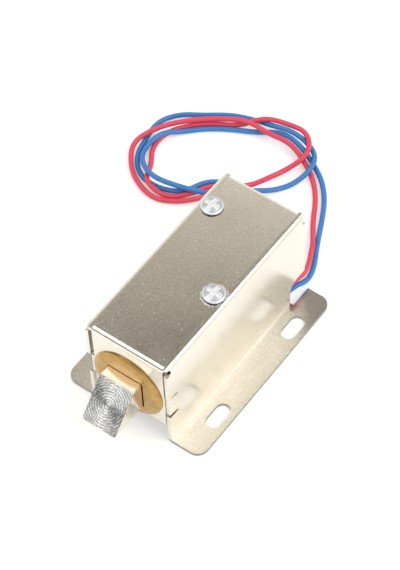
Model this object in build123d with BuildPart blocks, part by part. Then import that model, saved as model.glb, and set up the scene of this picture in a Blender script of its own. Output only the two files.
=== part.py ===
from build123d import *
import math
import os

# Solenoid lock: a wedge-nosed bolt pushed out by a spring and drawn in by a coil.
# The bolt points along +X, the mounting face is Z = 0, and the origin is the centre
# of the four mounting slots. Depths are measured back from the front face.

# Housing, one folded sheet
body_length = 55.8
body_width = 24.0
body_height = 29.8
flange_reach = 8.4
sheet = 1.0
bend_radius = 1.2
flange_corner_radius = 3.0
front_plate_margin = 0.6
back_plate_bottom_z = 8.6
front_plate_left_gap = 1.1
front_plate_right_gap = 0.4
back_plate_gap = 0.8
corner_relief_radius = 1.0
front_relief_drop = 1.3
back_relief_drop = 2.1
top_corner_radius = 1.6

# Mounting slots
slot_spacing_x = 31.6
slot_spacing_y = 33.8
slot_width = 3.9
slot_length = 7.6

# Slits and lead notch in the housing walls
wall_tab_length = 3.1
wall_tab_height = 6.4
wall_tab_drop = 1.1
wall_tab_slit = 0.6
wall_tab_setback = 0.4
left_tab_bend = 0.9
right_tab_bend = 0.3
lead_notch_length = 6.4
lead_notch_height = 7.8
lead_notch_radius = 3.4
lead_notch_flange_cut = 1.1

# Bolt and its brass guide
bolt_axis_drop = 14.2
bolt_width = 9.8
bolt_height = 9.3
bolt_reach = 12.1
bolt_nose_flat = 4.1
bolt_tip_lip = 0.35
bolt_top_chamfer = 0.25
bolt_bottom_chamfer = 0.6
bolt_running_gap = 0.2
guide_flange_diameter = 20.0
guide_flange_thickness = 1.1
guide_rim_thickness = 0.3
guide_dome_width = 2.3
guide_hole_corner = 0.6
guide_hub_diameter = 16.4
guide_hub_depth = 3.7
staked_rim_width = 0.7
staked_rim_length = 1.2
guide_fit = 0.05

# Plunger, pin, stop washer and spring
stroke = 10.0
stop_clearance = 0.3
stop_washer_diameter = 13.6
stop_washer_thickness = 1.2
spigot_diameter = 5.0
spigot_length = 4.0
spigot_fit = 0.05
pin_diameter = 2.0
pin_end_recess = 0.3
plunger_diameter = 9.2
plunger_fit = 0.1
plunger_chamfer = 0.6
spring_wire = 0.7
spring_turns = 5.5
spring_gap = 0.4

# Inner frame, pole plates and fixed core
frame_sheet = 1.2
frame_bend_radius = 1.6
frame_side_gap = 0.1
frame_bottom_z = 6.4
frame_tab_gap = 0.2
frame_tail = 1.0
front_pole_depth = 20.0
pole_thickness = 1.5
pole_side_gap = 0.1
tab_height = 6.0
tab_fit = 0.05
core_length = 3.4
core_spigot_diameter = 6.0
cushion_thickness = 0.8
cushion_diameter = 8.4

# Coil
bobbin_length = 26.0
bobbin_flange_diameter = 19.0
bobbin_flange_thickness = 1.0
bobbin_wall = 1.0
tube_wall = 0.4
bobbin_fit = 0.05
winding_diameter = 17.4
tape_thickness = 0.4

# Cover screws
screw_spacing_x = 21.0
screw_spacing_y = 15.8
screw_shank_diameter = 2.9
screw_shank_length = 5.0
screw_head_diameter = 5.7
screw_head_height = 1.4
screw_dome_radius = 5.2
screw_rim_rounding = 0.3
screw_hole_clearance = 0.15
screw_thread_fit = 0.05
recess_span = 4.0
recess_width = 1.05
recess_depth = 0.85
recess_taper = 22.0
collar_wall = 0.8
collar_depth = 1.0

# Leads
lead_diameter = 1.4
strand_diameter = 0.8
strand_length = 4.0
sleeve_diameter = 2.4
sleeve_length = 8.0
sleeve_setback = 1.6
sleeve_y = 9.6
red_sleeve_z = 4.2
blue_sleeve_z = 1.7
lead_straight = 3.5

# Sizes and places that follow from the values above
front_x = body_length / 2
back_x = -body_length / 2
half_width = body_width / 2
wall_mid_y = half_width - sheet / 2
wall_inner_y = half_width - sheet
top_mid_z = body_height - sheet / 2
top_inner_z = body_height - sheet
fold_mid_radius = bend_radius - sheet / 2
flange_edge_y = half_width + flange_reach
flange_width = 2 * flange_edge_y

frame_edge_y = wall_inner_y - frame_side_gap
frame_mid_y = frame_edge_y - frame_sheet / 2
frame_inner_y = frame_edge_y - frame_sheet
frame_top_mid_z = top_inner_z - frame_sheet / 2
web_bottom_z = top_inner_z - frame_sheet
plate_corner_radius = frame_bend_radius - frame_sheet + pole_side_gap
wall_tab_root_x = front_x - wall_tab_length
frame_front_x = wall_tab_root_x - frame_tab_gap
front_pole_x = front_x - front_pole_depth
bobbin_front_x = front_pole_x - pole_thickness
bobbin_back_x = bobbin_front_x - bobbin_length
rear_pole_x = bobbin_back_x
frame_back_x = rear_pole_x - pole_thickness - frame_tail
coil_centre_x = (front_pole_x + rear_pole_x - pole_thickness) / 2
sleeve_tail_x = rear_pole_x + sleeve_setback

bolt_axis_z = body_height - bolt_axis_drop
wall_tab_z = bolt_axis_z - wall_tab_drop
guide_end_x = front_x - guide_hub_depth
washer_front_x = guide_end_x - stop_clearance
shoulder_x = washer_front_x - stop_washer_thickness
bolt_tip_x = front_x + bolt_reach
bolt_bottom_z = bolt_axis_z - bolt_height / 2
bolt_top_z = bolt_axis_z + bolt_height / 2
hole_width = bolt_width + 2 * bolt_running_gap
hole_height = bolt_height + 2 * bolt_running_gap
guide_hub_radius = guide_hub_diameter / 2
guide_flange_radius = guide_flange_diameter / 2
guide_flat_radius = guide_flange_radius - guide_dome_width
front_plate_bottom_z = bolt_axis_z - guide_hub_radius - front_plate_margin
staked_rim_taper = math.degrees(math.atan(staked_rim_width / staked_rim_length))

bore_diameter = plunger_diameter + 2 * plunger_fit
tube_diameter = bore_diameter + 2 * tube_wall
bobbin_bore = tube_diameter + 2 * bobbin_fit
bobbin_tube_diameter = bobbin_bore + 2 * bobbin_wall
core_face_x = bobbin_back_x + core_length
cushion_face_x = core_face_x + cushion_thickness
plunger_end_x = cushion_face_x + stop_clearance + stroke
spring_mean_radius = plunger_diameter / 2 + spring_gap + spring_wire / 2
pin_x = washer_front_x + spigot_length / 2
screw_points = [
    (coil_centre_x + screw_spacing_x / 2, screw_spacing_y / 2),
    (coil_centre_x - screw_spacing_x / 2, -screw_spacing_y / 2),
]

# Points of the leads, from the sleeves round two loops to the free ends
red_lead_points = [
    (sleeve_tail_x, sleeve_y, red_sleeve_z),
    (sleeve_tail_x - lead_straight, sleeve_y, red_sleeve_z),
    (-25.4, 11.0, 5.6),
    (-29.2, 11.2, 4.45),
    (-32.8, 10.0, 3.11),
    (-36.2, 8.3, 2.06),
    (-39.9, 6.5, 1.89),
    (-42.7, 4.5, 1.13),
    (-47.0, 1.7, 0.72),
    (-52.5, -1.2, 0.72),
    (-57.9, -5.6, 0.72),
    (-61.6, -11.5, 1.47),
    (-63.0, -16.7, 3.35),
    (-62.4, -23.5, 3.2),
    (-62.9, -30.1, 3.39),
    (-60.8, -36.1, 2.21),
    (-56.6, -41.7, 2.35),
    (-52.0, -46.5, 2.18),
    (-46.7, -49.6, 2.5),
    (-40.6, -52.0, 1.6),
    (-34.4, -48.1, 1.06),
    (-30.6, -42.9, 0.87),
    (-28.7, -36.3, 0.8),
    (-31.4, -30.5, 0.8),
    (-35.6, -25.3, 1.87),
    (-39.4, -20.7, 5.37),
    (-44.8, -16.5, 3.85),
    (-50.6, -15.8, 1.14),
    (-56.9, -13.1, 0.8),
    (-62.4, -9.9, 3.9),
    (-68.5, -14.5, 3.56),
    (-67.7, -21.1, 3.74),
    (-65.9, -27.1, 3.79),
    (-61.8, -32.2, 0.85),
    (-58.8, -38.2, 0.72),
    (-55.1, -42.9, 0.72),
    (-49.1, -47.1, 0.72),
    (-42.5, -47.1, 0.72),
    (-37.4, -43.2, 1.01),
    (-31.1, -40.9, 2.72),
    (-30.8, -33.9, 0.73),
    (-35.4, -29.1, 0.89),
    (-41.8, -26.1, 0.72),
    (-42.6, -20.0, 0.72),
    (-40.6, -15.0, 0.72),
    (-38.4, -10.9, 0.72),
]
blue_lead_points = [
    (sleeve_tail_x, sleeve_y, blue_sleeve_z),
    (sleeve_tail_x - lead_straight, sleeve_y, blue_sleeve_z),
    (-24.9, 11.2, 3.9),
    (-28.3, 12.3, 2.71),
    (-32.1, 11.5, 1.49),
    (-36.1, 9.7, 0.75),
    (-39.2, 8.0, 0.72),
    (-43.7, 5.8, 0.72),
    (-47.8, 3.9, 0.72),
    (-53.7, 0.8, 0.72),
    (-58.8, -3.4, 0.72),
    (-62.4, -8.8, 0.72),
    (-64.4, -14.9, 3.0),
    (-65.7, -21.3, 1.92),
    (-62.3, -27.2, 1.02),
    (-59.8, -33.0, 0.85),
    (-56.1, -39.1, 0.72),
    (-51.6, -43.6, 0.72),
    (-46.6, -47.2, 2.84),
    (-40.0, -48.3, 0.99),
    (-34.9, -44.3, 3.25),
    (-32.7, -38.8, 3.76),
    (-34.7, -31.9, 2.81),
    (-37.0, -26.4, 1.93),
    (-39.4, -20.4, 2.29),
    (-43.6, -15.6, 3.69),
    (-48.7, -12.2, 0.72),
    (-54.2, -8.6, 0.78),
    (-60.4, -7.0, 3.16),
    (-66.0, -10.8, 1.36),
    (-66.6, -17.6, 3.66),
    (-65.5, -24.4, 2.78),
    (-65.9, -30.6, 0.72),
    (-63.8, -36.5, 0.72),
    (-59.6, -42.3, 0.72),
    (-56.2, -47.9, 0.72),
    (-50.7, -51.3, 0.72),
    (-43.6, -50.1, 0.72),
    (-37.6, -48.6, 0.72),
    (-32.9, -43.8, 0.72),
    (-32.3, -37.0, 0.72),
    (-35.2, -30.9, 0.72),
    (-41.8, -28.3, 0.72),
    (-44.6, -22.4, 0.72),
    (-44.4, -16.8, 0.72),
    (-42.8, -12.0, 0.72),
]


def axis_plane(x):
    """Plane across the bolt axis at x, facing along +X."""
    return Plane(origin=(x, 0, bolt_axis_z), x_dir=(0, 1, 0), z_dir=(1, 0, 0))


def corner_radii(points):
    """Radius of each bend of a lead, from its two runs and its turn."""
    radii = []
    for before, here, after in zip(points, points[1:], points[2:]):
        run_in = Vector(here) - Vector(before)
        run_out = Vector(after) - Vector(here)
        half_turn = math.radians(run_in.get_angle(run_out)) / 2
        radii.append(0.45 * min(run_in.length, run_out.length) / math.tan(half_turn))
    return radii


os.makedirs("parts", exist_ok=True)

# Housing: a hat section with both ends of its top folded down
with BuildPart() as housing:
    with BuildSketch(Plane.YZ.offset(back_x)):
        with BuildLine():
            FilletPolyline(
                (-flange_edge_y, sheet / 2),
                (-wall_mid_y, sheet / 2),
                (-wall_mid_y, top_mid_z),
                (wall_mid_y, top_mid_z),
                (wall_mid_y, sheet / 2),
                (flange_edge_y, sheet / 2),
                radius=fold_mid_radius,
            )
        trace(line_width=sheet)
    extrude(amount=body_length)
    for end, low_gap, high_gap, bottom_z, relief_drop in (
        (1, front_plate_left_gap, front_plate_right_gap, front_plate_bottom_z, front_relief_drop),
        (-1, back_plate_gap, back_plate_gap, back_plate_bottom_z, back_relief_drop),
    ):
        low_y = -wall_inner_y + low_gap
        high_y = wall_inner_y - high_gap
        end_x = end * front_x
        with BuildSketch(Plane.XZ.offset(-high_y)):
            with Locations((end_x, body_height)):
                Rectangle(2 * bend_radius, 2 * bend_radius)
        extrude(amount=high_y - low_y, mode=Mode.SUBTRACT)
        with BuildSketch(Plane.XZ.offset(-high_y)):
            with BuildLine():
                FilletPolyline(
                    (end_x - end * 2 * bend_radius, top_mid_z),
                    (end_x - end * sheet / 2, top_mid_z),
                    (end_x - end * sheet / 2, bottom_z),
                    radius=fold_mid_radius,
                )
            trace(line_width=sheet)
        extrude(amount=high_y - low_y)
        for side in (1, -1):
            corner = (end_x, side * half_width, body_height - relief_drop)
            with BuildSketch(Plane(origin=corner, z_dir=(end, side, 0))):
                Circle(corner_relief_radius)
            extrude(amount=2 * sheet, both=True, mode=Mode.SUBTRACT)
    with BuildSketch(Plane.XY.offset(body_height - front_relief_drop)):
        Rectangle(body_length, body_width)
        RectangleRounded(body_length, body_width, top_corner_radius, mode=Mode.SUBTRACT)
    extrude(amount=front_relief_drop, mode=Mode.SUBTRACT)
    with BuildSketch(Plane.XY):
        RectangleRounded(body_length, flange_width, flange_corner_radius)
    extrude(amount=body_height, mode=Mode.INTERSECT)
    with BuildSketch(Plane.XY):
        with GridLocations(slot_spacing_x, slot_spacing_y, 2, 2):
            SlotOverall(slot_length, slot_width)
    extrude(amount=sheet, mode=Mode.SUBTRACT)
    with BuildSketch(Plane.XY.offset(top_inner_z)):
        with Locations(*screw_points):
            Circle(screw_shank_diameter / 2 + screw_hole_clearance)
    extrude(amount=sheet, mode=Mode.SUBTRACT)
    with BuildSketch(axis_plane(front_x)):
        Circle(guide_hub_radius + guide_fit)
    extrude(amount=-sheet, mode=Mode.SUBTRACT)
    for side, tab_bend in ((1, right_tab_bend), (-1, left_tab_bend)):
        with BuildSketch(Plane.YZ.offset(wall_tab_root_x)):
            with Locations((side * wall_mid_y, wall_tab_z)):
                Rectangle(sheet, wall_tab_height + 2 * wall_tab_slit)
        extrude(amount=wall_tab_length, mode=Mode.SUBTRACT)
        with BuildSketch(Plane.XY.offset(wall_tab_z - wall_tab_height / 2)):
            with BuildLine():
                Polyline(
                    (wall_tab_root_x, side * half_width),
                    (front_x - wall_tab_setback, side * (half_width - tab_bend)),
                    (front_x - wall_tab_setback, side * (wall_inner_y - tab_bend)),
                    (wall_tab_root_x, side * wall_inner_y),
                    close=True,
                )
            make_face()
        extrude(amount=wall_tab_height)
    with BuildSketch(Plane.XZ.offset(-half_width - lead_notch_flange_cut)):
        with Locations((back_x, 0)):
            RectangleRounded(2 * lead_notch_length, 2 * lead_notch_height, lead_notch_radius)
    extrude(amount=lead_notch_flange_cut + bend_radius, mode=Mode.SUBTRACT)
housing.part.label = "housing"
export_step(housing.part, "parts/housing.step")

# Inner frame: a channel under the top that carries both pole plates and the screws
with BuildPart() as inner_frame:
    with BuildSketch(Plane.YZ.offset(frame_back_x)):
        with BuildLine():
            FilletPolyline(
                (-frame_mid_y, frame_bottom_z),
                (-frame_mid_y, frame_top_mid_z),
                (frame_mid_y, frame_top_mid_z),
                (frame_mid_y, frame_bottom_z),
                radius=frame_bend_radius - frame_sheet / 2,
            )
        trace(line_width=frame_sheet)
    extrude(amount=frame_front_x - frame_back_x)
    with BuildSketch(Plane.XY.offset(web_bottom_z)):
        with Locations(*screw_points):
            Circle(screw_shank_diameter / 2 + collar_wall)
    extrude(amount=-collar_depth)
    with BuildSketch(Plane.XY.offset(top_inner_z)):
        with Locations(*screw_points):
            Circle(screw_shank_diameter / 2 + screw_thread_fit)
    extrude(amount=-frame_sheet - collar_depth, mode=Mode.SUBTRACT)
    with BuildSketch(Plane.XZ.offset(-frame_edge_y)):
        for plate_x in (front_pole_x, rear_pole_x):
            with Locations((plate_x - pole_thickness / 2, bolt_axis_z)):
                Rectangle(pole_thickness + 2 * tab_fit, tab_height + 2 * tab_fit)
    extrude(amount=2 * frame_edge_y, mode=Mode.SUBTRACT)
inner_frame.part.label = "inner_frame"
export_step(inner_frame.part, "parts/inner_frame.step")

# Pole plates: each has two tabs that sit in slots of the inner frame
for name, plate_x, hole_diameter in (
    ("front_pole_plate", front_pole_x, tube_diameter + 2 * bobbin_fit),
    ("rear_pole_plate", rear_pole_x, core_spigot_diameter),
):
    with BuildPart() as pole_plate:
        with BuildSketch(Plane.YZ.offset(plate_x)) as outline:
            plate_height = web_bottom_z - frame_bottom_z
            with Locations((0, frame_bottom_z + plate_height / 2)):
                Rectangle(2 * (frame_inner_y - pole_side_gap), plate_height)
            fillet(outline.vertices().group_by(Axis.Y)[-1], plate_corner_radius)
            with Locations((0, bolt_axis_z)):
                Rectangle(2 * frame_edge_y, tab_height)
                Circle(hole_diameter / 2, mode=Mode.SUBTRACT)
        extrude(amount=-pole_thickness)
    pole_plate.part.label = name
    export_step(pole_plate.part, f"parts/{name}.step")

# Brass guide: a rounded flange outside, a hub through the plate and a staked rim behind
with BuildPart() as guide_bush:
    with BuildSketch(Plane.XZ.shift_origin((front_x, 0, bolt_axis_z))):
        with BuildLine():
            Polyline(
                (guide_flange_thickness, guide_flat_radius),
                (guide_flange_thickness, 0),
                (0, 0),
                (0, guide_flange_radius),
                (guide_rim_thickness, guide_flange_radius),
            )
            TangentArc(
                (guide_flange_thickness, guide_flat_radius),
                (guide_rim_thickness, guide_flange_radius),
                tangent=(0, 1),
            )
        make_face()
    revolve(axis=Axis((0, 0, bolt_axis_z), (1, 0, 0)))
    with BuildSketch(axis_plane(front_x)):
        Circle(guide_hub_radius)
    extrude(amount=-guide_hub_depth)
    with BuildSketch(axis_plane(front_x - sheet)):
        Circle(guide_hub_radius + staked_rim_width)
    extrude(amount=-staked_rim_length, taper=staked_rim_taper)
    with BuildSketch(axis_plane(front_x + guide_flange_thickness)):
        RectangleRounded(hole_width, hole_height, guide_hole_corner)
    extrude(amount=-guide_flange_thickness - guide_hub_depth, mode=Mode.SUBTRACT)
guide_bush.part.label = "guide_bush"
export_step(guide_bush.part, "parts/guide_bush.step")

# Latch bolt: a square bar with a slanted nose, bored behind for the plunger
with BuildPart() as latch_bolt:
    with BuildSketch(axis_plane(washer_front_x)):
        Rectangle(bolt_width, bolt_height)
    extrude(amount=bolt_tip_x - washer_front_x)
    long_edges = latch_bolt.edges().filter_by(Axis.X).group_by(Axis.Z)
    chamfer(long_edges[0], bolt_bottom_chamfer)
    chamfer(long_edges[-1], bolt_top_chamfer)
    with BuildSketch(Plane.XZ.offset(-bolt_width / 2)):
        with BuildLine():
            Polyline(
                (front_x + bolt_nose_flat, bolt_top_z),
                (bolt_tip_x, bolt_bottom_z + bolt_tip_lip),
                (bolt_tip_x, bolt_top_z),
                close=True,
            )
        make_face()
    extrude(amount=bolt_width, mode=Mode.SUBTRACT)
    with BuildSketch(axis_plane(washer_front_x)):
        Circle(spigot_diameter / 2 + spigot_fit)
    extrude(amount=spigot_length + spigot_fit, mode=Mode.SUBTRACT)
    with BuildSketch(Plane.XY.offset(bolt_bottom_z)):
        with Locations((pin_x, 0)):
            Circle(pin_diameter / 2 + spigot_fit)
    extrude(amount=bolt_height, mode=Mode.SUBTRACT)
latch_bolt.part.label = "latch_bolt"
export_step(latch_bolt.part, "parts/latch_bolt.step")

# Plunger: a round bar whose spigot passes the stop washer into the bolt
with BuildPart() as plunger:
    with BuildSketch(axis_plane(plunger_end_x)):
        Circle(plunger_diameter / 2)
    extrude(amount=shoulder_x - plunger_end_x)
    chamfer(plunger.faces().sort_by(Axis.X)[0].edges(), plunger_chamfer)
    with BuildSketch(axis_plane(shoulder_x)):
        Circle(spigot_diameter / 2)
    extrude(amount=stop_washer_thickness + spigot_length)
    with BuildSketch(Plane.XY.offset(bolt_bottom_z)):
        with Locations((pin_x, 0)):
            Circle(pin_diameter / 2 + spigot_fit)
    extrude(amount=bolt_height, mode=Mode.SUBTRACT)
plunger.part.label = "plunger"
export_step(plunger.part, "parts/plunger.step")

# Cross pin that holds the bolt on the plunger
with BuildPart() as cross_pin:
    with BuildSketch(Plane.XY.offset(bolt_bottom_z + pin_end_recess)):
        with Locations((pin_x, 0)):
            Circle(pin_diameter / 2)
    extrude(amount=bolt_height - 2 * pin_end_recess)
cross_pin.part.label = "cross_pin"
export_step(cross_pin.part, "parts/cross_pin.step")

# Stop washer between bolt and plunger
with BuildPart() as stop_washer:
    with BuildSketch(axis_plane(shoulder_x)):
        Circle(stop_washer_diameter / 2)
        Circle(spigot_diameter / 2 + spigot_fit, mode=Mode.SUBTRACT)
    extrude(amount=stop_washer_thickness)
stop_washer.part.label = "stop_washer"
export_step(stop_washer.part, "parts/stop_washer.step")

# Return spring from the front pole plate to the stop washer
spring_height = shoulder_x - front_pole_x - spring_wire
with BuildPart() as return_spring:
    with BuildLine():
        coil_line = Helix(
            pitch=spring_height / spring_turns,
            height=spring_height,
            radius=spring_mean_radius,
            center=(front_pole_x + spring_wire / 2, 0, bolt_axis_z),
            direction=(1, 0, 0),
        )
    with BuildSketch(Plane(origin=coil_line @ 0, z_dir=coil_line % 0)):
        Circle(spring_wire / 2)
    sweep()
return_spring.part.label = "return_spring"
export_step(return_spring.part, "parts/return_spring.step")

# Guide tube inside the bobbin
with BuildPart() as guide_tube:
    with BuildSketch(axis_plane(bobbin_back_x)):
        Circle(tube_diameter / 2)
        Circle(bore_diameter / 2, mode=Mode.SUBTRACT)
    extrude(amount=front_pole_x - bobbin_back_x)
guide_tube.part.label = "guide_tube"
export_step(guide_tube.part, "parts/guide_tube.step")

# Fixed core, staked in the rear pole plate
with BuildPart() as fixed_core:
    with BuildSketch(axis_plane(bobbin_back_x)):
        Circle(plunger_diameter / 2)
    extrude(amount=core_length)
    with BuildSketch(axis_plane(bobbin_back_x)):
        Circle(core_spigot_diameter / 2)
    extrude(amount=-pole_thickness)
fixed_core.part.label = "fixed_core"
export_step(fixed_core.part, "parts/fixed_core.step")

# Cushion disc that quietens the pulled-in stop
with BuildPart() as cushion_disc:
    with BuildSketch(axis_plane(core_face_x)):
        Circle(cushion_diameter / 2)
    extrude(amount=cushion_thickness)
cushion_disc.part.label = "cushion_disc"
export_step(cushion_disc.part, "parts/cushion_disc.step")

# Bobbin
with BuildPart() as bobbin:
    with BuildSketch(axis_plane(bobbin_back_x)):
        Circle(bobbin_tube_diameter / 2)
    extrude(amount=bobbin_length)
    for flange_x in (bobbin_back_x, bobbin_front_x - bobbin_flange_thickness):
        with BuildSketch(axis_plane(flange_x)):
            Circle(bobbin_flange_diameter / 2)
        extrude(amount=bobbin_flange_thickness)
    with BuildSketch(axis_plane(bobbin_back_x)):
        Circle(bobbin_bore / 2)
    extrude(amount=bobbin_length, mode=Mode.SUBTRACT)
bobbin.part.label = "bobbin"
export_step(bobbin.part, "parts/bobbin.step")

# Winding and the tape round it
winding_start_x = bobbin_back_x + bobbin_flange_thickness
winding_length = bobbin_length - 2 * bobbin_flange_thickness
with BuildPart() as coil_winding:
    with BuildSketch(axis_plane(winding_start_x)):
        Circle(winding_diameter / 2)
        Circle(bobbin_tube_diameter / 2 + bobbin_fit, mode=Mode.SUBTRACT)
    extrude(amount=winding_length)
coil_winding.part.label = "coil_winding"
export_step(coil_winding.part, "parts/coil_winding.step")

with BuildPart() as coil_tape:
    with BuildSketch(axis_plane(winding_start_x)):
        Circle(winding_diameter / 2 + bobbin_fit + tape_thickness)
        Circle(winding_diameter / 2 + bobbin_fit, mode=Mode.SUBTRACT)
    extrude(amount=winding_length)
coil_tape.part.label = "coil_tape"
export_step(coil_tape.part, "parts/coil_tape.step")

# Pan-head screws with a cross recess
for name, (screw_x, screw_y) in zip(("front_screw", "rear_screw"), screw_points):
    with BuildPart() as screw:
        with BuildSketch(Plane.XY.offset(body_height)):
            with Locations((screw_x, screw_y)):
                Circle(screw_head_diameter / 2)
        extrude(amount=screw_head_height)
        with Locations((screw_x, screw_y, body_height + screw_head_height - screw_dome_radius)):
            Sphere(screw_dome_radius, mode=Mode.INTERSECT)
        rims = screw.edges().filter_by(lambda edge: edge.is_closed).sort_by(Axis.Z)
        fillet(rims[-1], screw_rim_rounding)
        with BuildSketch(Plane.XY.offset(body_height)):
            with Locations((screw_x, screw_y)):
                Circle(screw_shank_diameter / 2)
        extrude(amount=-screw_shank_length)
        with BuildSketch(Plane.XY.offset(body_height + screw_head_height)):
            with Locations((screw_x, screw_y)):
                Rectangle(recess_span, recess_width)
                Rectangle(recess_width, recess_span)
        extrude(amount=-recess_depth, taper=recess_taper, mode=Mode.SUBTRACT)
    screw.part.label = name
    export_step(screw.part, f"parts/{name}.step")

# Sleeves over the joints between the winding ends and the leads
for name, sleeve_z in (("red_sleeve", red_sleeve_z), ("blue_sleeve", blue_sleeve_z)):
    with BuildPart() as sleeve:
        with BuildSketch(Plane.YZ.offset(sleeve_tail_x)):
            with Locations((sleeve_y, sleeve_z)):
                Circle(sleeve_diameter / 2)
        extrude(amount=sleeve_length)
    sleeve.part.label = name
    export_step(sleeve.part, f"parts/{name}.step")

# Leads, and the bare strands at their far ends
for colour, points in (("red", red_lead_points), ("blue", blue_lead_points)):
    radii = corner_radii(points)
    with BuildPart() as lead:
        with BuildLine() as route:
            FilletPolyline(*points, radius=radii)
        with BuildSketch(Plane(origin=route.line @ 0, z_dir=route.line % 0)):
            Circle(lead_diameter / 2)
        sweep()
    lead.part.label = f"{colour}_lead"
    export_step(lead.part, f"parts/{colour}_lead.step")
    with BuildPart() as strand:
        with BuildSketch(Plane(origin=route.line @ 1, z_dir=route.line % 1)):
            Circle(strand_diameter / 2)
        extrude(amount=strand_length)
    strand.part.label = f"{colour}_strand"
    export_step(strand.part, f"parts/{colour}_strand.step")
    length = route.wires()[0].length
    tube_volume = length * math.pi * (lead_diameter / 2) ** 2
    print(colour, "lead length", round(length, 1), "radii", [round(radius, 1) for radius in radii])
    print(colour, "lead volume", round(lead.part.volume, 2), "section times length", round(tube_volume, 2))
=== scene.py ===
# %% [markdown]
# A solenoid lock on a white table.
#
# The lock is a folded steel case that holds a coil. A spring pushes a square bolt out
# through a brass guide, and current in the coil draws it in. The solids come from the
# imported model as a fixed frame, in metres, and this lesson gives them their finish: the
# plated sheet, the turned brass, the milled bolt, the screws and the two soft leads.

import math

import bmesh
import bpy
from mathutils import Matrix, Vector


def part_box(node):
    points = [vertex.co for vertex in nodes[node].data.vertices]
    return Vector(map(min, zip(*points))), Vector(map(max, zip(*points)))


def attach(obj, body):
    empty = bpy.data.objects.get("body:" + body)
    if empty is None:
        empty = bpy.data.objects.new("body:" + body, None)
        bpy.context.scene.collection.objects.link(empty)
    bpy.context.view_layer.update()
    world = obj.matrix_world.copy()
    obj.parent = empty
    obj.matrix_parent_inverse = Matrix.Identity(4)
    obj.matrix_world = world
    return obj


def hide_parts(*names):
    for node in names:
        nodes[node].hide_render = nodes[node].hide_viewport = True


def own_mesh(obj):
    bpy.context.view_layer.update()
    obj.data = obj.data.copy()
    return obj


MM = 0.001
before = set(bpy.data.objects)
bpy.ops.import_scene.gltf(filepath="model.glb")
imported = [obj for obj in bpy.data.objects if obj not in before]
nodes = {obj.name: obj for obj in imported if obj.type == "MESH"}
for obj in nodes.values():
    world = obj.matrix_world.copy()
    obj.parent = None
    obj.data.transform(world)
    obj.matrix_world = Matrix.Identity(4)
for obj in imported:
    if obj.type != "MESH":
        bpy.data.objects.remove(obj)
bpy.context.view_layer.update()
print("pieces from CAD:", len(nodes))

# %% [markdown]
# The camera comes first, because every judgement of colour and shape is made through it.
# Its place, direction and lens were fitted to the corners of the case, the slots and the
# screws: it stands high over the front right corner, about half a metre away, with a long
# lens. Its own axes are the columns of its matrix: right, up and backwards.

# %% Camera
def put_in_scene(name, data):
    """An object at the origin that shows data."""
    made = bpy.data.objects.new(name, data)
    bpy.context.scene.collection.objects.link(made)
    return made


camera_place = Vector((0.22336, 0.17803, 0.41229))
camera_forward = Vector((-0.46349, -0.36792, -0.80611)).normalized()
camera_right = Vector((-0.58956, 0.80719, -0.02943)).normalized()
camera_up = camera_right.cross(camera_forward)
camera_data = bpy.data.cameras.new("camera")
camera_data.sensor_fit = "HORIZONTAL"
camera_data.sensor_width = 36.0
camera_data.lens = 182.17
camera = put_in_scene("camera", camera_data)
camera_axes = Matrix((camera_right, camera_up, -camera_forward)).transposed()
camera.matrix_world = Matrix.Translation(camera_place) @ camera_axes.to_4x4()
bpy.context.scene.camera = camera
bpy.context.scene.view_settings.view_transform = "Standard"
print("camera to origin:", round(camera_place.length, 3), "m")

# %% [markdown]
# Shader maths reads best as sums. `Signal` wraps one output socket of a material, so
# that `1 - mask` or `rings * 0.2` adds the Math nodes by itself. Every other node comes
# from `node`, which takes the node's type, its settings and its inputs. The methods after
# the operators are the sums that come back in every finish.

# %% A socket that can be added and multiplied
MIX_COLOUR_A, MIX_COLOUR_B, MIX_COLOUR_RESULT = 6, 7, 2


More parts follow.
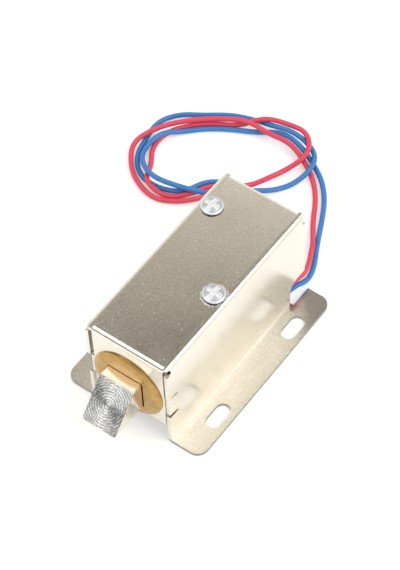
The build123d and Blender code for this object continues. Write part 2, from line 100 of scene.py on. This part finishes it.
class Signal:
    def __init__(self, tree, socket=None):
        self.tree = tree
        self.socket = socket

    def node(self, kind, settings=None, inputs=None, output=0):
        made = self.tree.nodes.new(kind)
        for name, value in (settings or {}).items():
            if name == "stops":
                self.set_stops(made.color_ramp, value)
            else:
                setattr(made, name, value)
        for name, value in (inputs or {}).items():
            if isinstance(value, Signal):
                self.tree.links.new(value.socket, made.inputs[name])
            else:
                made.inputs[name].default_value = value
        return Signal(self.tree, made.outputs[output] if made.outputs else None)

    @staticmethod
    def set_stops(ramp, stops):
        while len(ramp.elements) < len(stops):
            ramp.elements.new(1.0)
        for element, (place, colour) in zip(ramp.elements, stops):
            element.position = place
            element.color = (*colour, 1.0)

    def math(self, operation, *values):
        return self.node("ShaderNodeMath", {"operation": operation}, dict(enumerate(values)))

    def __add__(self, other):
        return self.math("ADD", self, other)

    def __sub__(self, other):
        return self.math("SUBTRACT", self, other)

    def __rsub__(self, other):
        return self.math("SUBTRACT", other, self)

    def __mul__(self, other):
        return self.math("MULTIPLY", self, other)

    def between(self, low, high):
        """A smooth step from 0 at low to 1 at high."""
        settings = {"interpolation_type": "SMOOTHSTEP", "clamp": True}
        inputs = {"Value": self, "From Min": low, "From Max": high}
        return self.node("ShaderNodeMapRange", settings, inputs)

    def between_mm(self, low, high):
        return self.between(low * MM, high * MM)

    def swing(self, amount):
        """The signal's distance from its middle, 0.5, times amount."""
        return (self - 0.5) * amount

    def axis(self, letter):
        """One of a vector's components, X, Y or Z."""
        return self.node("ShaderNodeSeparateXYZ", inputs={"Vector": self}, output=letter)

    def vector(self, operation, other=None, output="Vector"):
        inputs = {0: self} if other is None else {0: self, 1: other}
        return self.node("ShaderNodeVectorMath", {"operation": operation}, inputs, output)

    def blend(self, first, second):
        """The colour first where the signal is 0, and second where it is 1."""
        made = self.tree.nodes.new("ShaderNodeMix")
        made.data_type = "RGBA"
        self.tree.links.new(self.socket, made.inputs["Factor"])
        for index, value in ((MIX_COLOUR_A, first), (MIX_COLOUR_B, second)):
            if isinstance(value, Signal):
                self.tree.links.new(value.socket, made.inputs[index])
            else:
                made.inputs[index].default_value = (*value, 1.0)
        return Signal(self.tree, made.outputs[MIX_COLOUR_RESULT])


def empty_tree(owner):
    """The cleared node tree of a material or a world, as a Signal to add nodes with."""
    owner.use_nodes = True
    owner.node_tree.nodes.clear()
    return Signal(owner.node_tree)


def new_finish(name):
    """A material with an empty tree, and that tree as a Signal."""
    finish = bpy.data.materials.new(name)
    return finish, empty_tree(finish)


# %% [markdown]
# The lock lies on a white table that runs on past the picture. The camera, the mirrors
# and anything seen through glass get a plain white world. The matt surfaces are lit by a
# ramp over the height of the direction instead, dark near the horizon and bright above
# it, which keeps a soft shadow under the lock. In that light the table would look grey,
# so for the rays that see the white world it also glows a little.

# %% Table and room
def seen_as_background(tree):
    """1 for camera, glossy and transmission rays, and 0 for the rays that light."""
    names = ("Is Camera Ray", "Is Glossy Ray", "Is Transmission Ray")
    seen, mirrored, through = (tree.node("ShaderNodeLightPath", output=name) for name in names)
    return seen.math("MAXIMUM", seen.math("MAXIMUM", seen, mirrored), through)


WHITE = (1.0, 1.0, 1.0, 1.0)
table_size = 0.4
table_colour = (0.9, 0.9, 0.9, 1.0)
table_glow = 0.34
table_mesh = bpy.data.meshes.new("table")
table_build = bmesh.new()
bmesh.ops.create_grid(table_build, x_segments=1, y_segments=1, size=table_size)
table_build.to_mesh(table_mesh)
table_build.free()
table = put_in_scene("table", table_mesh)

table_finish, paper = new_finish("table_white")
matte = paper.node("ShaderNodeBsdfDiffuse", inputs={"Color": table_colour})
table_lift = seen_as_background(paper) * table_glow
lift = paper.node("ShaderNodeEmission", inputs={"Color": WHITE, "Strength": table_lift})
lifted = paper.node("ShaderNodeAddShader", inputs={0: matte, 1: lift})
paper.node("ShaderNodeOutputMaterial", inputs={"Surface": lifted})
table_mesh.materials.append(table_finish)

room = bpy.data.worlds.new("room")
bpy.context.scene.world = room
air = empty_tree(room)
direction_height = air.node("ShaderNodeTexCoord", output="Generated").axis("Z")
room_stops = (
    (0.0, (0.1, 0.1, 0.1)),
    (0.1, (0.12, 0.12, 0.12)),
    (0.16, (1.05, 1.04, 1.01)),
    (0.45, (0.87, 0.86, 0.84)),
    (1.0, (0.87, 0.86, 0.84)),
)
ramp = air.node("ShaderNodeValToRGB", {"stops": room_stops}, {"Fac": direction_height})
room_light = air.node("ShaderNodeBackground", inputs={"Color": ramp, "Strength": 1.0})
room_white = air.node("ShaderNodeBackground", inputs={"Color": WHITE, "Strength": 1.0})
room_inputs = {0: seen_as_background(air), 1: room_light, 2: room_white}
room_both = air.node("ShaderNodeMixShader", inputs=room_inputs)
air.node("ShaderNodeOutputWorld", inputs={"Surface": room_both})
print("table of", 2 * table_size, "m, room ramp with", len(room_stops), "stops")

# %% [markdown]
# One square lamp from the right gives the lock its form and its shadow. The plated case
# is close to a mirror, though, and shows its surroundings more than any lamp, so what it
# reflects is built, as in a photographer's studio, from cards that hang out of the picture.
# Only glossy rays see them, so they light nothing else and throw no shadow. Their places
# and tones were tried out from this camera: a dark taupe card that fades to pale over the
# top, a black one before the bolt's nose, bright strips for the rounded bends and beyond
# the flange, and a pale card over the flange.

# %% Lamp and studio cards
lamp_place = Vector((-0.1, 0.8, 0.8))
lamp_data = bpy.data.lights.new("key_lamp", "AREA")
lamp_data.size = 0.6
lamp_data.energy = 3.2
lamp = put_in_scene("key_lamp", lamp_data)
lamp_turn = (-lamp_place).to_track_quat("-Z", "Y")
lamp.matrix_world = Matrix.Translation(lamp_place) @ lamp_turn.to_matrix().to_4x4()


def studio_card(name, x_span, y_span, height, tones, fade=None, lean=0.0, facing=None):
    """A card that only mirror-like surfaces see.

    Its glow goes from the first of its tones to the second while x plus lean times y runs
    through fade, or from its right edge to its left. With facing, it is turned that way.
    """
    left, right = x_span
    near, far = y_span
    card_mesh = bpy.data.meshes.new(name)
    build = bmesh.new()
    bmesh.ops.create_grid(build, x_segments=1, y_segments=1, size=0.5)
    bmesh.ops.scale(build, vec=(right - left, far - near, 1.0), verts=build.verts)
    if facing is not None:
        turn = Vector(facing).to_track_quat("Z", "Y").to_matrix().to_4x4()
        bmesh.ops.transform(build, matrix=turn, verts=build.verts)
    middle = ((left + right) / 2, (near + far) / 2, height)
    bmesh.ops.translate(build, vec=middle, verts=build.verts)
    build.to_mesh(card_mesh)
    build.free()
    card = put_in_scene(name, card_mesh)
    for ray in ("camera", "diffuse", "shadow", "transmission"):
        setattr(card, "visible_" + ray, False)
    tint, tree = new_finish(name)
    place = tree.node("ShaderNodeTexCoord", output="Object")
    start, stop = fade or (right, left)
    graded = (place.axis("X") + place.axis("Y") * lean).between(start, stop).blend(*tones)
    glow = tree.node("ShaderNodeEmission", inputs={"Color": graded, "Strength": 1.0})
    tree.node("ShaderNodeOutputMaterial", inputs={"Surface": glow})
    card_mesh.materials.append(tint)
    print(name, "spans", x_span, y_span, "at", height, "m")


taupe_tones = ((0.117, 0.103, 0.078), (0.9, 0.86, 0.78))
black_tones = ((0.03, 0.03, 0.03), (0.03, 0.03, 0.03))
bright_tones = ((2.2, 2.2, 2.2), (2.2, 2.2, 2.2))
warming_tones = ((2.2, 2.2, 2.2), (1.75, 1.72, 1.65))
pale_tones = ((0.98, 0.95, 0.89), (0.5, 0.48, 0.43))
strip_height = 0.6
studio_card(
    "card_over_top", (-0.45, -0.09), (-0.4, -0.05), 0.5, taupe_tones, (-0.46, -0.84), lean=1.6
)
studio_card(
    "card_before_nose", (0.05, 0.95), (-0.3, -0.1), 0.22, black_tones, facing=(-0.85, 0.37, -0.37)
)
studio_card(
    "strip_for_front_bend", (-0.02, 0.8), (-0.52, -0.12), strip_height, warming_tones, (0.2, 0.3)
)
studio_card("strip_for_side_bend", (-0.4, -0.1), (-0.01, 0.18), strip_height, bright_tones)
studio_card("strip_beyond_flange", (-0.44, -0.12), (0.34, 0.6), strip_height, bright_tones)
studio_card(
    "card_over_flange", (-0.7, -0.12), (0.18, 0.34), strip_height, pale_tones, (-0.28, -0.41)
)

# %% [markdown]
# Each finish is a Principled shader with a few signals. The patterns start from Object
# coordinates, so that they stay put when a piece moves. `plated` serves most of the metal
# inside the case and the bare ends of the leads: its roughness and brightness wander a
# little, with a fine grain.

# %% Metal finishes
def close_finish(tree, settings, normal):
    """Principled shader and output."""
    shader = tree.node("ShaderNodeBsdfPrincipled", inputs={**settings, "Normal": normal})
    tree.node("ShaderNodeOutputMaterial", inputs={"Surface": shader})


def noise(place, size, detail=2.0):
    """Noise whose lumps are about size millimetres across."""
    inputs = {"Vector": place, "Scale": 1.0 / (size * MM), "Detail": detail}
    return place.node("ShaderNodeTexNoise", inputs=inputs)


def bumped(height, depth, strength=0.3):
    """A normal from a height signal; depth is in millimetres."""
    inputs = {"Strength": strength, "Distance": depth * MM, "Height": height}
    return height.node("ShaderNodeBump", inputs=inputs)


def scaled(colour, factor):
    """A colour made darker or paler."""
    return tuple(min(1.0, channel * factor) for channel in colour)


def varied(colour, tone, darkest, palest):
    """The colour from darkest to palest times itself, as tone goes from -0.5 to 0.5."""
    return (tone + 0.5).blend(scaled(colour, darkest), scaled(colour, palest))


def plated(name, colour, roughness):
    """Metal with a slow wander of tone and a fine grain."""
    finish, tree = new_finish(name)
    place = tree.node("ShaderNodeTexCoord", output="Object")
    cloud = noise(place, 9.0, 3.0)
    dust = noise(place, 0.3)
    tone = cloud.swing(0.1) + dust.swing(0.05)
    shade = varied(colour, tone, 0.8, 1.2)
    settings = {"Base Color": shade, "Metallic": 1.0, "Roughness": tone + roughness}
    close_finish(tree, settings, bumped(dust, 0.006))
    print("finish:", name)
    return finish


zinc_finish = plated("zinc_frame", (0.82, 0.81, 0.78), 0.28)
spring_finish = plated("spring_wire", (0.6, 0.6, 0.6), 0.25)
copper_finish = plated("copper_winding", (0.75, 0.35, 0.16), 0.35)
tin_finish = plated("tinned_strand", (0.8, 0.8, 0.78), 0.35)

# %% [markdown]
# The cover screws are zinc plated. Their heads are a quiet grey. The paler rim is a painted
# highlight, and so is the punched cross, matt and pale, over the recess that the solid has.
# Where the head meets the case, a dark line of painted shade stands in for the shadow
# under the head. Both screws share one material: the rear one is the front one turned half
# round the point between them, so a step from the nearer axis is worked out for each spot.

# %% Zinc screws
screw_boxes = [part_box(name) for name in ("front_screw", "rear_screw")]
screw_axes = [
    ((low[0] + high[0]) / 2, (low[1] + high[1]) / 2, 0.0) for low, high in screw_boxes
]
screw_middle = tuple((front + rear) / 2 for front, rear in zip(*screw_axes))
screw_half_step = tuple((front - rear) / 2 for front, rear in zip(*screw_axes))
screw_top = screw_boxes[0][1][2]
axes_in_mm = [tuple(round(value / MM, 2) for value in axis) for axis in screw_axes]
print("screw axes at", axes_in_mm, "mm, top at", round(screw_top / MM, 2), "mm")


def from_screw_axis(place):
    """The level step from the nearer screw's axis, turned so that both screws agree."""
    from_middle = place.axis("X") - screw_middle[0]
    side = from_middle.math("SIGN", from_middle)
    centred = place.vector("SUBTRACT", screw_middle)
    scale_settings = {"operation": "SCALE"}
    agreed = centred.node("ShaderNodeVectorMath", scale_settings, {0: centred, "Scale": side})
    return agreed.vector("SUBTRACT", screw_half_step).vector("MULTIPLY", (1.0, 1.0, 0.0))


cross_half_width = 0.575
cross_reach = 2.0
# Where the painted highlight on the rim starts, and where the painted shade under the head lies,
# in millimetres:
highlight_rim_start = 2.4
shaded_foot_start = 2.35
shaded_foot_depths = (1.0, 0.85)


def screw_zinc(name, colour, painted_cross_highlight, painted_shade_colour):
    """Grey zinc with a painted highlight on the rim and on the matt cross, and painted shade at
    the foot.
    """
    finish, tree = new_finish(name)
    place = tree.node("ShaderNodeTexCoord", output="Object")
    step = from_screw_axis(place)
    away = step.vector("LENGTH", output="Value")
    sides = step.vector("ABSOLUTE")
    along, aside = sides.axis("X"), sides.axis("Y")
    arm = along.math("MINIMUM", along, aside)
    # The cross is a painted highlight: pale, matt and hardly metal.
    cross = 1.0 - arm.between_mm(cross_half_width, cross_half_width + 0.1)
    cross = cross * (1.0 - away.between_mm(cross_reach, cross_reach + 0.1))
    # A painted highlight on the outer rim of the head.
    rim_highlight = away.between_mm(highlight_rim_start, highlight_rim_start + 0.1)
    # Painted shade where the head meets the case, for the shadow under the head.
    shaded_foot_low, shaded_foot_high = (screw_top - depth * MM for depth in shaded_foot_depths)
    shaded_foot = 1.0 - place.axis("Z").between(shaded_foot_low, shaded_foot_high)
    shaded_foot = shaded_foot * away.between_mm(shaded_foot_start, shaded_foot_start + 0.05)
    grain = noise(place, 0.35, 3.0)
    tone = grain.swing(0.7) + noise(place, 1.5, 2.0).swing(0.6)
    shade = varied(colour, tone, 0.8, 1.2)
    # Painted highlight on the rim and the cross, then painted shade at the foot.
    shade = rim_highlight.blend(shade, scaled(colour, 1.5))
    shade = cross.blend(shade, painted_cross_highlight)
    shade = shaded_foot.blend(shade, painted_shade_colour)
    rough = grain.swing(0.1) + cross * 0.2 + 0.3
    settings = {"Base Color": shade, "Metallic": 1.0 - cross * 0.85, "Roughness": rough}
    close_finish(tree, settings, bumped(grain, 0.02))
    print("finish:", name)
    return finish


# The second colour paints the cross's highlight, the third paints the shade under the head.
screw_finish = screw_zinc("zinc_screw", (0.5, 0.52, 0.54), (0.9, 0.91, 0.91), (0.03, 0.03, 0.03))

# %% [markdown]
# The case is satin nickel on rolled sheet. Close up it has three scales: a slow wander
# where hands and tools have rubbed it, a fine grain like orange peel, and a dust of tiny
# pits that shine or go dull. The pits are Voronoi cells, and a cell keeps its pit only
# where its own random number is high.
#
# Three more marks go by place. The cut edges of the flanges are painted dark, as shade.
# The flanges' back ends are painted darker, more so towards the back: painted shade for the
# darker reflection there. Round the screw heads the driver has scuffed the plating off in
# flecks, mostly at the front screw.

# %% Satin nickel sheet
sheet_thickness = 1.0
# The span along the case, in millimetres, over which the painted shade on the flanges' back ends
# fades out towards the front:
back_end_shade_span = (-26.0, -6.0)
scuff_ring = (2.75, 2.85, 3.2, 3.7)
case_top_from = 20.0


def pits(place, spacing, size, share):
    """A mask of small round pits, one in each of a share of the cells."""
    cells = {"Vector": place, "Scale": 1.0 / (spacing * MM)}
    distance = place.node("ShaderNodeTexVoronoi", inputs=cells)
    colour = place.node("ShaderNodeTexVoronoi", inputs=cells, output="Color")
    number = place.node("ShaderNodeSeparateColor", inputs={"Color": colour})
    chosen = number.math("GREATER_THAN", number, 1.0 - share)
    return chosen * (1.0 - distance.between(size / spacing * 0.5, size / spacing))


def cut_edges(tree, level):
    """A mask of the upright faces that are no higher than the sheet is thick."""
    lean = tree.node("ShaderNodeTexCoord", output="Normal").axis("Z")
    upright = 1.0 - lean.math("ABSOLUTE", lean).between(0.3, 0.5)
    return upright * (1.0 - level.between_mm(sheet_thickness - 0.02, sheet_thickness))


def screw_scuffs(place, along, level):
    """A mask of flecks in a ring round the screw heads, weaker round the rear one."""
    away = from_screw_axis(place).vector("LENGTH", output="Value")
    inner, inner_full, outer_full, outer = scuff_ring
    ring = away.between_mm(inner, inner_full) * (1.0 - away.between_mm(outer_full, outer))
    flecks = ring * noise(place, 0.5, 2.0).between(0.44, 0.52)
    flecks = flecks * level.between_mm(case_top_from, case_top_from + 1.0)
    return flecks * (along.between_mm(0.0, 1.0) * 0.6 + 0.2)


def satin_sheet(name, colour, roughness):
    """Nickel-plated rolled sheet."""
    finish, tree = new_finish(name)
    place = tree.node("ShaderNodeTexCoord", output="Object")
    along, level = place.axis("X"), place.axis("Z")
    cloud = noise(place, 14.0, 4.0)
    peel = noise(place, 0.4, 3.0)
    shiny = pits(place, 0.9, 0.13, 0.35)
    dull = pits(place, 1.5, 0.16, 0.3)
    edge_shade = cut_edges(tree, level)
    low_down = 1.0 - level.between_mm(sheet_thickness, sheet_thickness + 0.3)
    # The flanges' back ends carry painted shade, standing in for their darker reflection.
    back_end_shade = low_down * (1.0 - along.between_mm(*back_end_shade_span))
    scuffed = screw_scuffs(place, along, level)
    shade = varied(colour, cloud.swing(0.25) + peel.swing(1.2), 0.82, 1.16)
    shade = (shiny * 0.4).blend(shade, (0.95, 0.93, 0.88))
    shade = (dull * 0.4).blend(shade, scaled(colour, 0.45))
    # Painted shade: on the cut edges, and on the flanges' back ends for their darker reflection.
    shade = (edge_shade * 0.75).blend(shade, scaled(colour, 0.25))
    shade = (back_end_shade * 0.6).blend(shade, scaled(colour, 0.5))
    shade = scuffed.blend(shade, (0.95, 0.94, 0.9))
    rough = cloud.swing(0.08) + peel.swing(0.06) + shiny * 0.2 + edge_shade * 0.2 + roughness
    settings = {"Base Color": shade, "Metallic": 1.0 - scuffed, "Roughness": rough}
    close_finish(tree, settings, bumped(peel * 0.7 + shiny - dull, 0.011, 0.6))
    print("finish:", name)
    return finish


sheet_finish = satin_sheet("nickel_sheet", (0.82, 0.775, 0.685), 0.22)

# %% [markdown]
# The brass guide comes off a lathe and keeps the tool's path, as fine rings round the
# bolt's axis. The rings are a wave over the distance from a point, with some noise added
# to the distance, because no tool runs quite true. Rubbing has left patches on it too.

# %% Turned brass
def ring_wave(place, centre, pitch, wobble):
    """A wave from 0 to 1 over the distance from a point, with uneven rings."""
    distance = place.vector("DISTANCE", Vector(centre) * MM, output="Value")
    phase = distance * (2.0 * math.pi / (pitch * MM)) + noise(place, 1.6, 2.0) * wobble
    return phase.math("SINE", phase) * 0.5 + 0.5


def turned(name, colour, roughness, centre):
    """Metal from a lathe, with rings round a point."""
    finish, tree = new_finish(name)
    place = tree.node("ShaderNodeTexCoord", output="Object")
    rings = ring_wave(place, centre, 0.3, 5.0)
    cloud = noise(place, 3.0, 3.0)
    rub = noise(place, 0.6, 3.0)
    shade = varied(colour, rings.swing(0.35) + cloud.swing(1.1) + rub.swing(0.9), 0.68, 1.32)
    rough = cloud.swing(0.15) + roughness
    settings = {"Base Color": shade, "Metallic": 1.0, "Roughness": rough}
    close_finish(tree, settings, bumped(rings, 0.015, 1.0))
    print("finish:", name, "round", centre, "mm")
    return finish


guide_middle = (29.0, 0.0, 15.6)
brass_finish = turned("turned_brass", (0.48, 0.295, 0.1), 0.22, guide_middle)

# %% [markdown]
# The cutter that faced the bolt's slanted nose turned round the middle of the face, so
# every groove is an arc round that point. Such grooves spread a reflection along the
# radius, and turned metal shows that as a bright hourglass. So the rings go into the
# bump, and some of the coarse ones also go into the colour, in patches: bright and dark
# arcs of painted highlight. The rest of the bolt is drawn bar with a plain grain.

# %% Faced nose and drawn sides of the bolt
nose_middle = (36.0, 0.0, 15.8)
nose_normal = (0.745, 0.0, 0.667)


def faced_bar(name, nose_colour, side_colour):
    """Drawn bar whose slanted face was cut on a lathe."""
    finish, tree = new_finish(name)
    place = tree.node("ShaderNodeTexCoord", output="Object")
    facing = tree.node("ShaderNodeTexCoord", output="Normal")
    nose = facing.vector("DOT_PRODUCT", nose_normal, output="Value").between(0.97, 0.995)
    fine = ring_wave(place, nose_middle, 0.21, 3.0)
    coarse_grooves_and_painted_arcs = ring_wave(place, nose_middle, 0.66, 4.5)
    grain = noise(place, 0.35, 3.0)
    patches = noise(place, 2.2, 3.0)
    specks = noise(place, 0.28, 2.0).between(0.56, 0.68)
    arcs = noise(place, 1.3, 2.0).between(0.38, 0.62)
    # The coarse rings in the colour, in patches, are painted highlight: bright and dark arcs.
    tone = coarse_grooves_and_painted_arcs.swing(1.0) * (arcs * 0.8 + 0.1) + grain.swing(1.3) + patches.swing(0.9)
    cut = varied(nose_colour, tone, 0.38, 1.6)
    cut = (specks * 0.7).blend(cut, scaled(nose_colour, 0.2))
    grained = grain * 0.5 + patches * 0.5
    drawn = grained.blend(scaled(side_colour, 0.9), scaled(side_colour, 1.1))
    rough = grain.swing(0.1) + nose * 0.05 + 0.15
    grooves = (fine * 0.9 + coarse_grooves_and_painted_arcs * 0.3) * (arcs * 0.3 + 0.85) + grain * 0.25
    relief = nose * grooves + (1 - nose) * grain * 0.06
    settings = {"Base Color": nose.blend(drawn, cut), "Metallic": 1.0, "Roughness": rough}
    close_finish(tree, settings, bumped(relief, 0.03, 1.0))
    print("finish:", name, "faced round", nose_middle, "mm")
    return finish


bolt_finish = faced_bar("faced_bolt", (0.64, 0.63, 0.61), (0.78, 0.74, 0.66))

# %% [markdown]
# The plastics and the rubber need little: insulation and mouldings have one even colour
# that wanders by a few hundredths, and a faint skin that breaks the highlight up.

# %% Plastic finishes
cloud_size = 25.0 / 3.0


def moulded(name, colour, roughness):
    """Plastic with a slow wander of tone and a faint skin."""
    finish, tree = new_finish(name)
    place = tree.node("ShaderNodeTexCoord", output="Object")
    skin = noise(place, 0.25)
    shade = noise(place, cloud_size).blend(scaled(colour, 0.92), scaled(colour, 1.08))
    settings = {"Base Color": shade, "Roughness": skin.swing(0.1) + roughness}
    close_finish(tree, settings, bumped(skin, 0.01, 0.2))
    print("finish:", name)
    return finish


bobbin_finish = moulded("white_nylon", (0.8, 0.79, 0.72), 0.45)
tape_finish = moulded("yellow_tape", (0.8, 0.62, 0.12), 0.35)
rubber_finish = moulded("black_rubber", (0.03, 0.03, 0.03), 0.6)
sleeve_finish = moulded("shrunk_sleeve", (0.03, 0.03, 0.035), 0.4)
red_finish = moulded("red_insulation", (0.82, 0.063, 0.12), 0.42)
blue_finish = moulded("blue_insulation", (0.04, 0.22, 0.58), 0.42)

# %% [markdown]
# Each CAD node whose shape is right only takes its finish in its material slots. The
# copies that are made below take theirs along with the mesh.

# %% Finishes on the CAD nodes
pieces_with = {
    sheet_finish: ("housing",),
    zinc_finish: (
        "inner_frame", "front_pole_plate", "rear_pole_plate", "plunger", "stop_washer",
        "fixed_core",
    ),
    brass_finish: ("guide_bush", "guide_tube"),
    bolt_finish: ("latch_bolt", "cross_pin"),
    spring_finish: ("return_spring",),
    rubber_finish: ("cushion_disc",),
    bobbin_finish: ("bobbin",),
    copper_finish: ("coil_winding",),
    tape_finish: ("coil_tape",),
    screw_finish: ("front_screw", "rear_screw"),
    sleeve_finish: ("red_sleeve", "blue_sleeve"),
    red_finish: ("red_lead",),
    blue_finish: ("blue_lead",),
    tin_finish: ("red_strand", "blue_strand"),
}
for finish, names in pieces_with.items():
    for name in names:
        mesh = nodes[name].data
        mesh.materials.clear()
        mesh.materials.append(finish)
print("nodes with a finish:", sum(len(names) for names in pieces_with.values()))

# %% [markdown]
# No sheared sheet or milled bar has a perfectly sharp edge, and the thin line of light on
# an edge is what makes metal look like metal. The housing, the guide and the bolt are
# therefore copies of their CAD meshes: doubled corners are merged, flat faces are joined
# into one, and a Bevel modifier takes about a tenth of a millimetre off each sharp edge.
# Hardened normals keep the faces beside the bevels flat.

# %% Pieces with broken edges
merge_distance = 0.001 * MM
flat_angle = math.radians(0.5)
smooth_angle = math.radians(25.0)
bevel_angle = math.radians(30.0)


def edge_broken(node, body, width):
    """A copy of a CAD node with small bevels, in the node's place."""
    piece_name = node + "_finished"
    mesh = nodes[node].data.copy()
    mesh.name = piece_name
    build = bmesh.new()
    build.from_mesh(mesh)
    bmesh.ops.remove_doubles(build, verts=build.verts, dist=merge_distance)
    bmesh.ops.dissolve_limit(
        build,
        angle_limit=flat_angle,
        use_dissolve_boundaries=False,
        verts=build.verts,
        edges=build.edges,
    )
    sharp = 0
    for face in build.faces:
        face.smooth = True
    for edge in build.edges:
        edge.smooth = len(edge.link_faces) == 2 and edge.calc_face_angle(0.0) < smooth_angle
        sharp += not edge.smooth
    build.to_mesh(mesh)
    build.free()
    piece = put_in_scene(piece_name, mesh)
    edges = piece.modifiers.new("broken_edges", "BEVEL")
    edges.width = width * MM
    edges.segments = 2
    edges.limit_method = "ANGLE"
    edges.angle_limit = bevel_angle
    edges.harden_normals = True
    edges.use_clamp_overlap = True
    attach(piece, body)
    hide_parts(node)
    print(piece_name, "sharp edges:", sharp)


edge_broken("housing", "lock_body", 0.12)
edge_broken("guide_bush", "lock_body", 0.08)
edge_broken("latch_bolt", "bolt", 0.12)

# %% [markdown]
# The return spring sits inside the case between a pole plate and the washer on the bolt.
# A copy of its mesh, with doubled points merged and shaded smooth, rides on the case in
# place of the CAD node.

# %% Return spring
spring_mesh = nodes["return_spring"].data.copy()
spring_build = bmesh.new()
spring_build.from_mesh(spring_mesh)
bmesh.ops.remove_doubles(spring_build, verts=spring_build.verts, dist=merge_distance)
for face in spring_build.faces:
    face.smooth = True
spring_build.to_mesh(spring_mesh)
spring_build.free()
spring = put_in_scene("return_spring_coil", spring_mesh)
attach(spring, "lock_body")
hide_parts("return_spring")
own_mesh(spring)

# %% [markdown]
# The leads are soft, so each is one smooth curve. A NURBS curve takes the route's points
# as its control points and rounds them all, where the CAD tube has arcs and straight
# runs. Its order is set after its points, or it would stay straight between them. The
# points, in millimetres, go from the notch round both loops to the bare end. Of the 46 in
# each lead, 40 were worked out by a fitting program, which also laid one lead over the
# other. Four were set one by one, and the first two follow from the sleeve's place.

# %% Leads
red_route = [
    (-18.0, 9.6, 4.2),
    (-21.5, 9.6, 4.2),
    (-25.4, 11.0, 5.6),
    (-29.2, 11.2, 4.45),
    (-32.8, 10.0, 3.11),
    (-36.2, 8.3, 2.06),
    (-39.9, 6.5, 1.89),
    (-42.7, 4.5, 1.13),
    (-47.0, 1.7, 0.72),
    (-52.5, -1.2, 0.72),
    (-57.9, -5.6, 0.72),
    (-61.6, -11.5, 1.47),
    (-63.0, -16.7, 3.35),
    (-62.4, -23.5, 3.2),
    (-62.9, -30.1, 3.39),
    (-60.8, -36.1, 2.21),
    (-56.6, -41.7, 2.35),
    (-52.0, -46.5, 2.18),
    (-46.7, -49.6, 2.5),
    (-40.6, -52.0, 1.6),
    (-34.4, -48.1, 1.06),
    (-30.6, -42.9, 0.87),
    (-28.7, -36.3, 0.8),
    (-31.4, -30.5, 0.8),
    (-35.6, -25.3, 1.87),
    (-39.4, -20.7, 5.37),
    (-44.8, -16.5, 3.85),
    (-50.6, -15.8, 1.14),
    (-56.9, -13.1, 0.8),
    (-62.4, -9.9, 3.9),
    (-68.5, -14.5, 3.56),
    (-67.7, -21.1, 3.74),
    (-65.9, -27.1, 3.79),
    (-61.8, -32.2, 0.85),
    (-58.8, -38.2, 0.72),
    (-55.1, -42.9, 0.72),
    (-49.1, -47.1, 0.72),
    (-42.5, -47.1, 0.72),
    (-37.4, -43.2, 1.01),
    (-31.1, -40.9, 2.72),
    (-30.8, -33.9, 0.73),
    (-35.4, -29.1, 0.89),
    (-41.8, -26.1, 0.72),
    (-42.6, -20.0, 0.72),
    (-40.6, -15.0, 0.72),
    (-38.4, -10.9, 0.72),
]
blue_route = [
    (-18.0, 9.6, 1.7),
    (-21.5, 9.6, 1.7),
    (-24.9, 11.2, 3.9),
    (-28.3, 12.3, 2.71),
    (-32.1, 11.5, 1.49),
    (-36.1, 9.7, 0.75),
    (-39.2, 8.0, 0.72),
    (-43.7, 5.8, 0.72),
    (-47.8, 3.9, 0.72),
    (-53.7, 0.8, 0.72),
    (-58.8, -3.4, 0.72),
    (-62.4, -8.8, 0.72),
    (-64.4, -14.9, 3.0),
    (-65.7, -21.3, 1.92),
    (-62.3, -27.2, 1.02),
    (-59.8, -33.0, 0.85),
    (-56.1, -39.1, 0.72),
    (-51.6, -43.6, 0.72),
    (-46.6, -47.2, 2.84),
    (-40.0, -48.3, 0.99),
    (-34.9, -44.3, 3.25),
    (-32.7, -38.8, 3.76),
    (-34.7, -31.9, 2.81),
    (-37.0, -26.4, 1.93),
    (-39.4, -20.4, 2.29),
    (-43.6, -15.6, 3.69),
    (-48.7, -12.2, 0.72),
    (-54.2, -8.6, 0.78),
    (-60.4, -7.0, 3.16),
    (-66.0, -10.8, 1.36),
    (-66.6, -17.6, 3.66),
    (-65.5, -24.4, 2.78),
    (-65.9, -30.6, 0.72),
    (-63.8, -36.5, 0.72),
    (-59.6, -42.3, 0.72),
    (-56.2, -47.9, 0.72),
    (-50.7, -51.3, 0.72),
    (-43.6, -50.1, 0.72),
    (-37.6, -48.6, 0.72),
    (-32.9, -43.8, 0.72),
    (-32.3, -37.0, 0.72),
    (-35.2, -30.9, 0.72),
    (-41.8, -28.3, 0.72),
    (-44.6, -22.4, 0.72),
    (-44.4, -16.8, 0.72),
    (-42.8, -12.0, 0.72),
]


def lead(name, route, length, finish):
    """A round lead along one NURBS curve."""
    data = bpy.data.curves.new(name, "CURVE")
    data.dimensions = "3D"
    data.bevel_depth = 0.7 * MM
    data.bevel_resolution = 5
    data.resolution_u = 8
    data.use_fill_caps = True
    spline = data.splines.new("NURBS")
    spline.points.add(len(route) - 1)
    for point, place in zip(spline.points, route):
        point.co = (*(coordinate * MM for coordinate in place), 1.0)
    spline.order_u = 3
    spline.use_endpoint_u = True
    data.materials.append(finish)
    piece = put_in_scene(f"{name}_soft", data)
    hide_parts(name)
    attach(piece, "lock_body")
    print(name, "through", len(route), "points,", length, "m long")


lead("red_lead", red_route, 0.271, red_finish)
lead("blue_lead", blue_route, 0.272, blue_finish)
